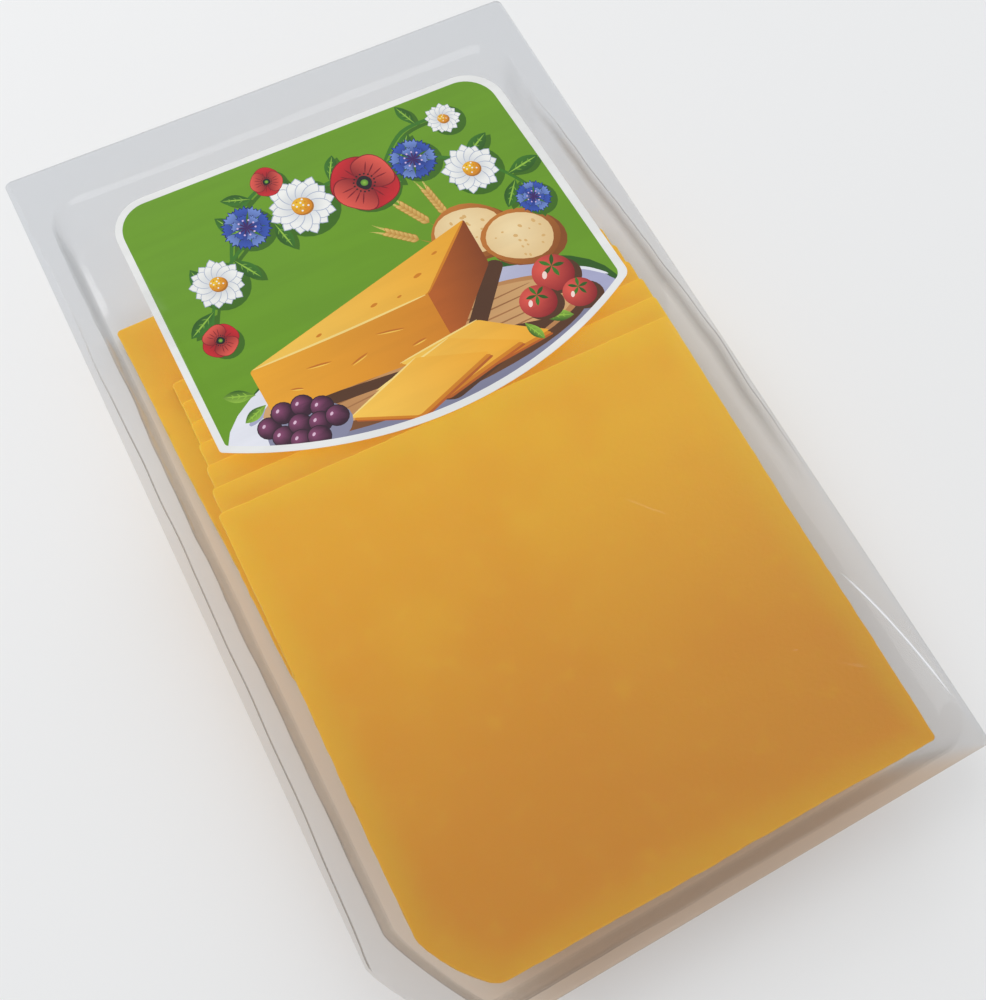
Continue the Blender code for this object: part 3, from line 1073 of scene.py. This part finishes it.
def daisy(a, b, radius, turn):
    """A white daisy with a grained yellow middle."""
    for ring in (0, 1):
        for number in range(13):
            angle = turn + 360 * (number + 0.5 * ring) / 13
            reach = radius * (1 - 0.14 * ring) * (1 + 0.05 * math.sin(number * 2.4 + a))
            rim = leaf(a, b, reach * 1.03, radius * 0.46, angle, blunt=0.6)
            yield rim, mix_colour(SILVER, BLUE, 0.22 - 0.1 * ring)
            petal = leaf(a, b, reach, radius * 0.40, angle, blunt=0.6)
            yield petal, fade(SILVER, WHITE, (a, b), along(a, b, reach * 0.8, angle))
    yield oval(a + 0.2, b + 0.3, radius * 0.33, radius * 0.31), mix_colour(AMBER, BLACK, 0.35)
    lit = (a - radius * 0.08, b - radius * 0.1)
    yield oval(a, b, radius * 0.31, radius * 0.29), glow(YELLOW, AMBER, lit, radius * 0.34)
    for number in range(14):
        reach = radius * 0.26 * math.sqrt((number + 0.5) / 14)
        grain = dot(*along(a, b, reach, 137.5 * number), radius * 0.035)
        yield grain, AMBER if number % 2 else WHITE


def cornflower(a, b, radius, turn):
    """A blue cornflower with two rings of ragged petals."""
    for count, length, width in ((9, 1.0, 0.66), (6, 0.62, 0.44)):
        for number in range(count):
            angle = turn + 360 * number / count + 20 * length
            yield toothed_petal(a, b, radius * length * 1.05, radius * width * 1.12, angle), NAVY
            petal = toothed_petal(a, b, radius * length, radius * width, angle)
            tip = along(a, b, radius * length, angle)
            yield petal, fade(NAVY, SKY if number % 2 else BLUE, (a, b), tip)
    for number in range(10):
        angle = turn + 36 * number
        yield leaf(a, b, radius * 0.36, radius * 0.06, angle, steps=4), VIOLET
        yield dot(*along(a, b, radius * 0.36, angle), radius * 0.045), LILAC


def poppy(a, b, radius, turn):
    """A red poppy with a dark middle."""
    for bend, size, light in ((0, 1.0, RED), (180, 1.0, RED), (95, 0.92, CORAL), (275, 0.92, CORAL)):
        angle = turn + bend
        middle = along(a, b, radius * 0.5, angle)
        shaded = fade(WINE, light, (a, b), along(a, b, radius, angle))
        for grown, paint in ((1.05, WINE), (1.0, shaded)):
            across, long = 0.56 * radius * size * grown, 0.78 * radius * size * grown
            yield oval(*middle, across, long, angle, wobble=0.09, steps=30), paint
        for crease in (-28, -10, 12, 30):
            root = along(a, b, radius * 0.3, angle + crease)
            yield leaf(*root, radius * 0.5, radius * 0.045, angle + crease, steps=5), WINE
    yield oval(a, b, radius * 0.25, radius * 0.25, wobble=0.12), BLACK
    for number in range(16):
        yield dot(*along(a, b, radius * 0.33, 22.5 * number), radius * 0.035), BLACK
    yield oval(a, b, radius * 0.12, radius * 0.12), glow(FRESH_GREEN, LEAF_GREEN, (a, b), radius * 0.14)


STEMS = (
    ((9, 40), (16, 28), (30, 19), (50, 14.5), (70, 17), (84, 26), (91, 37)),
    ((20, 25), (26, 14), (36, 8)),
    ((62, 15.4), (70, 9), (80, 8.4)),
)
LEAVES = (
    (12, 34, 8, 150), (13, 31, 9, -100), (21, 24, 8, 60), (26, 20, 9, -120), (37, 16, 8, -70),
    (33, 19, 8, 80), (45, 15, 8, 110), (49, 14, 7, -60), (60, 15, 8, 60), (66, 16, 8, -50),
    (77, 20, 9, 100), (80, 22, 9, -30), (88, 32, 8, 130), (87, 30, 9, -10), (90, 36, 7, 100),
    (10, 38, 7, 80), (31, 11, 7, 200), (74, 8.4, 7, 250), (78, 8.4, 6, 20),
)
FLOWERS = (
    (daisy, 15.5, 28, 6.0), (cornflower, 27, 17.5, 5.6), (daisy, 40.5, 17.5, 7.6), (poppy, 56, 18, 7.4),
    (cornflower, 69, 17, 5.6), (daisy, 80, 25, 6.6), (poppy, 36, 8.2, 3.6), (daisy, 80.5, 9.6, 4.2),
    (cornflower, 89.6, 38, 4.2), (poppy, 10.5, 41, 3.8),
)


def garland():
    """Meadow flowers along a bow, over their shade on the green."""
    greens = [(stroke(path, 1.0), LEAF_GREEN) for path in STEMS]
    for a, b, length, turn in LEAVES:
        greens += leaf_motif(a, b, length, turn)
    shade = [(moved(outline, 0.8, 1.0), SHADE_GREEN) for outline, _ in greens]
    shade += [(oval(a + 1.0, b + 1.2, radius, radius), SHADE_GREEN) for _, a, b, radius in FLOWERS]
    shapes = shade + greens
    for number, (kind, a, b, radius) in enumerate(FLOWERS):
        shapes += kind(a, b, radius, 17.0 * number)
    return shapes


# Print: food on a board


def cloth():
    """A pale cloth under the board, with folds."""
    yield oval(50, 70, 48, 23, wobble=0.06, steps=48), DARK_GREEN
    yield oval(50, 70.6, 47.4, 22.4, wobble=0.06, steps=48), fade(CLOTH, CLOTH_SHADE, (10, 52), (84, 76))
    folds = (
        ((8, 62), (16, 58), (22, 52), 2.2), ((12, 66), (24, 67), (34, 75), 1.8),
        ((68, 74), (80, 71.5), (91, 67), 1.8), ((86, 58), (91, 60.5), (95, 64), 1.4),
        ((42, 77.4), (54, 76.2), (66, 77.6), 1.4),
    )
    for *path, width in folds:
        yield stroke(path, width), CLOTH_SHADE
        yield stroke(moved(path, 0.2, -0.9), width * 0.55), CLOTH


def board():
    """A round wooden board with its grain and thickness."""
    yield oval(51, 66.6, 40, 10.4, steps=48), mix_colour(CLOTH_SHADE, BLACK, 0.45)
    yield oval(50, 64.8, 39, 10, steps=48), fade(WOOD_DARK, WOOD_SHADE, (20, 66), (84, 66))
    yield oval(50, 62.6, 39, 10, steps=48), fade(WOOD_LIGHT, WOOD, (16, 56), (80, 68))
    yield oval(50, 62.6, 36.6, 9.1, steps=48), fade(WOOD, WOOD_LIGHT, (16, 56), (80, 68))
    for row in range(8):
        b = 55.4 + row * 2.0
        reach = 34 * math.sqrt(1 - ((b - 62.6) / 9.1) ** 2)
        path = ((50 - reach, b + 0.3), (42, b - 0.5 + 0.3 * (row % 3)), (60, b + 0.4), (50 + reach, b))
        yield stroke(path, 0.42), mix_colour(WOOD, WOOD_DARK, 0.35 + 0.1 * (row % 3))


def bread(a, b, across, long, turn):
    """A slice of bread, its crust round a holed crumb."""
    yield oval(a + 0.8, b + 0.9, across, long, turn, 0.05), CRUST_DARK
    shaded = fade(CRUST, CRUST_DARK, (a, b - long), (a + across, b + long))
    yield oval(a, b, across, long, turn, 0.05), shaded
    crumb = oval(a - 0.2, b - 0.2, across * 0.86, long * 0.84, turn, 0.05)
    yield crumb, glow(CRUMB, mix_colour(CRUMB, CRUMB_SHADE, 0.6), (a - 1, b - 2), across)
    draw = random.Random(round(a * 10))
    for _ in range(16):
        angle, reach = draw.uniform(0, math.tau), math.sqrt(draw.uniform(0, 0.55))
        at = (across * reach * math.cos(angle), long * reach * math.sin(angle))
        size = draw.uniform(0.25, 0.6)
        hole = oval(*place_points([at], a, b, turn)[0], size, size * 0.7, draw.uniform(0, 90), 0.1, 9)
        yield hole, CRUMB_SHADE


def wheat_ear(a, b, length, turn):
    """An ear of wheat on its stalk."""
    yield leaf(a, b, length * 1.5, 0.5, turn + 180, steps=4), BRAN
    for step in range(7):
        root = along(a, b, length * step / 8, turn)
        for bend in (-24, 24):
            tip = along(*root, length * 0.26, turn + bend)
            yield leaf(*root, length * 0.62, 0.16, turn + bend * 0.45, steps=3), STRAW
            yield leaf(*root, length * 0.27, length * 0.13, turn + bend), BRAN
            yield leaf(*root, length * 0.25, length * 0.10, turn + bend), fade(STRAW, BRAN, tip, root)


def wedge():
    """A wedge of orange cheese with its rind at the right."""
    tip, front, back = (13, 50.5), (56, 50), (72, 36.5)
    low_tip, low_front, low_back = (13.4, 62), (56, 64.5), (72, 49)
    shade = ((12, 61), (56, 66), (72, 48), (75.5, 50), (59.5, 68), (14, 64.4))
    yield rounded(shade, 2.0), WOOD_SHADE
    yield rounded((tip, back, low_back, low_front, low_tip), 0.8), WEDGE_SHADE
    yield rounded((tip, front, back), 0.9), fade(WEDGE_TOP, WEDGE_FACE, (20, 46), (70, 44))
    yield rounded((tip, front, low_front, low_tip), 0.7), fade(WEDGE_FACE, WEDGE_SHADE, (16, 48), (54, 68))
    yield rounded((front, back, low_back, low_front), 0.7), fade(RIND, RIND_DARK, (58, 50), (72, 52))
    yield stroke(((14, 50.4), (35, 50.5), (55.4, 50.1)), 0.5), WEDGE_GLINT
    yield stroke(((56.3, 50), (64, 43.4), (71.6, 36.9)), 0.6), WEDGE_SHADE
    cracks = ((24, 55, 6, 8), (33, 58.5, 5, -14), (41, 54, 7, 12), (47, 60, 4, -6), (19, 58, 3, 20))
    for a, b, reach, turn in cracks:
        yield leaf(a, b, reach, 0.5, turn, steps=5), mix_colour(WEDGE_SHADE, RIND, 0.5)
        yield leaf(a + 0.2, b + 0.35, reach * 0.9, 0.3, turn, steps=5), WEDGE_TOP
    for a, b, size in ((30, 49, 0.5), (44, 47.5, 0.6), (56, 45, 0.7), (50, 48, 0.4), (62, 41.5, 0.5)):
        yield oval(a, b, size * 1.5, size * 0.6, -10, 0.1, 12), WEDGE_SHADE


def cut_slices():
    """Thin square slices of cheese, fanned out on the board."""
    yield rounded(((33, 68.6), (60, 63), (80, 68), (50, 76.4)), 1.5), WOOD_SHADE
    square = ((-17, -1.6), (2.6, -6.2), (17, 1.6), (-4.4, 6.2))
    for a, b, turn in ((59.5, 66.4, 7), (52.4, 68.0, 0), (44.6, 69.4, -7)):
        corners = place_points(square, a, b, turn)
        yield rounded(moved(corners, 0.5, 1.3), 0.9), RIND
        yield rounded(moved(corners, 0.2, 0.8), 0.9), WEDGE_SHADE
        yield rounded(corners, 0.9), fade(WEDGE_TOP, WEDGE_FACE, corners[0], corners[2])
        yield stroke(corners[:2], 0.4), WEDGE_GLINT


def tomato(a, b, radius, turn):
    """A small tomato with its calyx and a glint."""
    yield oval(a + 1.0, b + 1.3, radius * 1.06, radius * 0.9), WOOD_SHADE
    lit = (a - radius * 0.35, b - radius * 0.4)
    yield oval(a, b, radius, radius * 0.94, steps=30), glow(CORAL, WINE, lit, radius * 1.6)
    for number in range(5):
        sepal = leaf(a + radius * 0.1, b - radius * 0.35, radius * 0.62, radius * 0.2, turn + 72 * number)
        yield sepal, LEAF_GREEN if number % 2 else DARK_GREEN
    yield oval(a - radius * 0.42, b - radius * 0.05, radius * 0.2, radius * 0.11, -60), BLUSH


def grapes(a, b):
    """A bunch of dark grapes."""
    yield oval(a + 1.2, b + 2.2, 9.4, 5.6, 8, 0.06), mix_colour(CLOTH_SHADE, BLACK, 0.4)
    berries = (
        (-6.6, -1.6), (-2.6, -3.6), (1.8, -3.4), (5.4, -1.4), (-4.6, 1.6),
        (-0.4, 0.4), (3.6, 1.8), (7.4, 2.0), (-1.6, 4.0), (2.0, 4.8),
    )
    for at_a, at_b in moved(berries, a, b):
        yield oval(at_a, at_b, 2.65, 2.65, steps=18), mix_colour(GRAPE_DARK, BLACK, 0.5)
        yield oval(at_a, at_b, 2.45, 2.45, steps=18), glow(GRAPE, GRAPE_DARK, (at_a - 0.8, at_b - 0.9), 2.6)
        yield oval(at_a - 0.9, at_b - 0.9, 0.5, 0.32, -40, steps=8), GRAPE_GLINT


def still_life():
    """Bread, wheat, cheese, leaves, tomatoes and grapes on a board on a cloth."""
    shapes = [*cloth(), *board()]
    for a, b, length, turn in ((60.5, 37, 8.4, -140), (64.6, 34, 8.8, -120), (69, 33.4, 8.4, -99)):
        shapes += wheat_ear(a, b, length, turn)
    for a, b, turn in ((72, 40, 8), (82, 46, 20)):
        shapes += bread(a, b, 9.4, 7.2, turn)
    shapes += wedge()
    shapes += cut_slices()
    herbs = ((74, 63, 7, -20), (76, 66, 7.5, 24), (72, 66, 6, 70), (12, 56, 7, 200), (13, 59, 6, 160))
    for a, b, length, turn in herbs:
        shapes += leaf_motif(a, b, length, turn, DARK_GREEN, FRESH_GREEN)
    for a, b, radius, turn in ((84, 57.5, 5.0, 10), (77.4, 62.5, 4.4, 40), (87, 64.5, 4.0, 70)):
        shapes += tomato(a, b, radius, turn)
    shapes += grapes(18, 66)
    return shapes


# Label


def label_outline(inset, right_inset):
    """The label's outline in millimetres, moved in by an inset, with its own at the right."""
    width = (LABEL_HIGH.x - LABEL_LOW.x) / MM
    length = (LABEL_HIGH.y - LABEL_LOW.y) / MM
    half = width / 2
    arc_radius = (half**2 + LABEL_BULGE**2) / (2 * LABEL_BULGE)
    arm = arc_radius - inset
    first, last = math.asin((inset - half) / arm), math.asin((half - right_inset) / arm)
    arc = []
    for step in range(41):
        angle = mix(first, last, step / 40)
        arc.append((half + arm * math.sin(angle), length - arc_radius + arm * math.cos(angle)))
    far_right, far_left = (width - LABEL_TAPER - right_inset, inset), (inset, inset)
    near_left, near_right = arc[0], arc[-1]
    corners = (
        (arc[-2], near_right, far_right, LABEL_NEAR_RIGHT),
        (near_right, far_right, far_left, LABEL_CORNER - inset),
        (far_right, far_left, near_left, LABEL_CORNER - inset),
        (far_left, near_left, arc[1], LABEL_NEAR_LEFT),
    )
    points = arc[1:-1]
    for before, corner, after, radius in corners:
        start = towards(corner, before, radius)
        points += corner_curve(start, corner, towards(corner, after, radius), ROUND, 12)
    return points


def inside_outline(places, outline):
    """Which rows of an array of places lie inside an outline."""
    a, b = places[:, 0], places[:, 1]
    inside = np.zeros(len(places), bool)
    for (a1, b1), (a2, b2) in zip(outline, outline[1:] + outline[:1]):
        if b1 != b2:
            crossed = (b1 > b) != (b2 > b)
            inside ^= crossed & (a < a1 + (b - b1) * (a2 - a1) / (b2 - b1))
    return inside


def front_shapes(places, outlines):
    """The number of the front outline over each place."""
    front = np.zeros(len(places), int)
    for number, outline in enumerate(outlines):
        low, high = np.min(outline, axis=0), np.max(outline, axis=0)
        close = np.flatnonzero(np.all((places > low) & (places < high), axis=1))
        front[close[inside_outline(places[close], outline)]] = number
    return front


def fill_label(mesh, shapes, drop):
    """Fills the label's outline with triangles in the front shape's colours, lower by drop."""
    ink = mesh.loops.layers.float_color["ink"]
    paper, field = label_outline(0.0, 0.0), label_outline(BORDER, RIGHT_BORDER)
    outlines = [paper, field] + [outline for outline, _ in shapes]
    paints = [PAPER, FIELD_GREEN if shapes else PAPER] + [paint for _, paint in shapes]
    points, edges = [], []
    for outline in outlines:
        numbers = range(len(points), len(points) + len(outline))
        edges += zip(numbers, [*numbers[1:], numbers[0]])
        points += outline
    columns = round((LABEL_HIGH.x - LABEL_LOW.x) / MM / PRINT_GRID)
    rows = round((LABEL_HIGH.y - LABEL_LOW.y) / MM / PRINT_GRID)
    for row in range(1, rows):
        points += [(column * PRINT_GRID, row * PRINT_GRID) for column in range(1, columns)]
    flipped = [Vector((a, -b)) for a, b in points]
    found = geometry.delaunay_2d_cdt(flipped, edges, [], 0, 0.002)
    places = np.array([(point.x, -point.y) for point in found[0]])
    middles = places[np.array(found[2])].mean(axis=1)
    front = front_shapes(middles, outlines)
    on_paper, in_field = inside_outline(middles, paper), inside_outline(middles, field)
    made = []
    for a, b in places:
        x, y = LABEL_LOW.x + a * MM, LABEL_HIGH.y - b * MM
        made.append(mesh.verts.new((x, y, label_height(*off_plan(x, y)) - drop)))
    for corners, number, kept, printed in zip(found[2], front, on_paper, in_field):
        if not kept:
            continue
        face = mesh.faces.new([made[index] for index in corners])
        paint = paints[number if printed else 0]
        for loop, index in zip(face.loops, corners):
            loop[ink] = (*(paint(*places[index]) if callable(paint) else paint), 1.0)
        if drop:
            face.normal_flip()
    loose = [vertex for vertex in made if not vertex.link_faces]
    bmesh.ops.delete(mesh, geom=loose, context="VERTS")


def add_cut_edge(mesh, ink):
    """Adds the paper's cut edge round the label's face, down to its back."""
    rim = [edge.link_loops[0] for edge in mesh.edges if edge.is_boundary]
    lower = {}
    for loop in rim:
        x, y, z = loop.vert.co
        lower[loop.vert] = mesh.verts.new((x, y, z - LABEL_PAPER))
    for start, end in [(loop.vert, loop.link_loop_next.vert) for loop in rim]:
        face = mesh.faces.new((end, start, lower[start], lower[end]))
        for corner in face.loops:
            corner[ink] = (*PAPER, 1.0)


def make_label(look):
    """The label's paper with its print, a cut edge and a plain back."""
    mesh = bmesh.new()
    ink = mesh.loops.layers.float_color.new("ink")
    fill_label(mesh, still_life() + garland(), 0.0)
    add_cut_edge(mesh, ink)
    fill_label(mesh, [], LABEL_PAPER)
    piece = link_mesh("printed_label", mesh, [look], 30)
    piece.visible_shadow = False
    stand_for(piece, "label_print", "label")


# Floor, lights and camera


def make_floor():
    """A plain pale floor, just under the tray."""
    mesh = bmesh.new()
    bmesh.ops.create_grid(mesh, x_segments=1, y_segments=1, size=1.6)
    for vertex in mesh.verts:
        vertex.co.z = -0.2 * MM
    made, tree = new_material("pale_floor")
    inputs = {"Base Color": (FLOOR_GREY, FLOOR_GREY, FLOOR_GREY), "Roughness": 0.9}
    end_material(tree, add_node(tree, "ShaderNodeBsdfPrincipled", inputs).outputs[0])
    link_mesh("floor", mesh, [made])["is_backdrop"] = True


def area_light(name, place, aim, width, height, power):
    data = bpy.data.lights.new(name, "AREA")
    data.shape = "RECTANGLE"
    data.size = width
    data.size_y = height
    data.energy = power
    light = bpy.data.objects.new(name, data)
    light.location = place
    light.rotation_euler = (Vector(aim) - Vector(place)).to_track_quat("-Z", "Y").to_euler()
    bpy.context.scene.collection.objects.link(light)


def make_lights():
    """Soft lights round the pack in a pale room, where the flat film mirrors none to the camera."""
    for name, values in LIGHTS.items():
        area_light(name, *values)
    world = bpy.data.worlds.new("pale_room")
    world.use_nodes = True
    background = world.node_tree.nodes["Background"]
    background.inputs["Color"].default_value = (*ROOM_COLOUR, 1.0)
    background.inputs["Strength"].default_value = ROOM_STRENGTH
    bpy.context.scene.world = world


def make_camera():
    data = bpy.data.cameras.new("camera")
    data.sensor_width = SENSOR_MM
    data.lens = FOCAL_PX / PHOTO_HEIGHT_PX * SENSOR_MM
    data.clip_start = 0.01
    camera = bpy.data.objects.new("camera", data)
    place = Vector((*on_plan(CAMERA_U, CAMERA_V), FLANGE_TOP + CAMERA_RISE))
    target = Vector((*on_plan(TARGET_U, TARGET_V), FLANGE_TOP))
    turn = math.radians(CAMERA_TURN)
    back = (place - target).normalized()
    right = Vector((math.sin(turn), math.cos(turn), 0.0)).cross(back).normalized()
    up = back.cross(right)
    camera.matrix_world = Matrix.Translation(place) @ Matrix((right, up, back)).transposed().to_4x4()
    bpy.context.scene.collection.objects.link(camera)
    bpy.context.scene.camera = camera


def main():
    tray_look = clear_material("clear_tray", *TRAY_LOOK, even_haze, tray_relief)
    film_look = clear_material("clear_film", *FILM_LOOK, film_haze, film_relief)
    edge_look = clear_material("clear_edge", *CUT_LOOK, even_haze, tray_relief)
    cheddar = cheese_material()
    make_tray(tray_look, edge_look)
    for node in SLICE_NODES:
        make_slice(node, cheddar)
    make_film(film_look)
    make_label(label_material())
    make_floor()
    make_lights()
    make_camera()
    bpy.context.scene.view_settings.view_transform = "Standard"
    bpy.context.scene.cycles.transparent_max_bounces = 32


main()

boxes = {"cad": CAD_BOX, "visual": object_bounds()}
{name: [list(corner) for corner in box] for name, box in boxes.items()}
